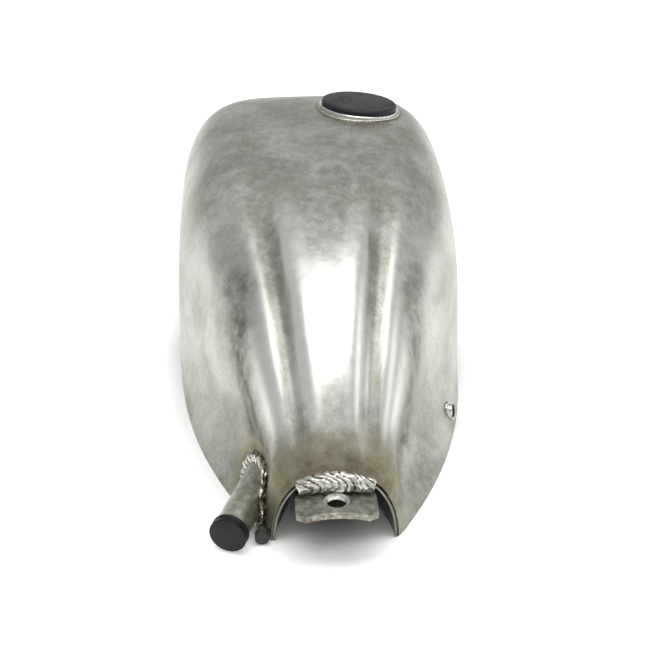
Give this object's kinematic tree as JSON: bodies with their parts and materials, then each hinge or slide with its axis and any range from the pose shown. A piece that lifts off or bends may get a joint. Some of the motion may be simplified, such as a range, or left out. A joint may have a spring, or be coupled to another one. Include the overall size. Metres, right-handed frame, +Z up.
{
  "type": "motorcycle fuel tank",
  "caption": "Bare steel teardrop fuel tank with a backbone tunnel, fluted top, offset filler, mounting tabs and capped outlets.",
  "frame": {"origin": "middle of the footprint, on the plane the tank stands on", "axes": "+Z up, +Y towards the front (the wide end), +X towards the rider's right"},
  "size_m": [0.234, 0.527, 0.1942],
  "materials": {
    "bare_skin": "bare ground steel",
    "ground_seam": "bare steel, ground flush",
    "weld": "bare rippled weld",
    "tab_plate": "bare hot-rolled plate",
    "tube_steel": "bare drawn tube",
    "turned_steel": "bare turned steel",
    "plug_plastic": "satin black",
    "nipple_rubber": "matte"
  },
  "bodies": {
    "tank": {"left_shell": "bare_skin", "right_shell": "bare_skin", "centre_strip": "bare_skin", "strip_seam": "ground_seam", "nose_seam": "ground_seam", "tunnel": "bare_skin", "left_floor": "bare_skin", "right_floor": "bare_skin", "left_skin_fillet": "weld", "right_skin_fillet": "weld", "left_tunnel_fillet": "weld", "right_tunnel_fillet": "weld", "rear_mount_tab": "tab_plate", "rear_tab_bead": "weld", "front_mount_tab": "tab_plate", "front_tab_bead": "weld", "filler_neck": "turned_steel", "filler_neck_bead": "weld", "fuel_spigot": "tube_steel", "spigot_bead": "weld", "balance_nipple": "tube_steel", "drain_bung": "turned_steel", "drain_bung_bead": "weld"},
    "filler_plug": {"filler_plug": "plug_plastic"},
    "spigot_cap": {"spigot_cap": "plug_plastic"},
    "nipple_cap": {"nipple_cap": "nipple_rubber"},
    "drain_plug": {"drain_plug": "plug_plastic"}
  },
  "joints": [
    {"name": "filler_plug_pull", "type": "slide", "parent": "tank", "child": "filler_plug", "axis": [0.095, 0.1048, 0.99], "range_m": [0, 0.03]},
    {"name": "spigot_cap_pull", "type": "slide", "parent": "tank", "child": "spigot_cap", "axis": [-0.353, -0.9342, -0.0523], "range_m": [0, 0.018]},
    {"name": "nipple_cap_pull", "type": "slide", "parent": "tank", "child": "nipple_cap", "axis": [0, -1, 0], "range_m": [0, 0.012]},
    {"name": "drain_plug_pull", "type": "slide", "parent": "tank", "child": "drain_plug", "axis": [1, 0, 0], "range_m": [0, 0.012]}
  ]
}
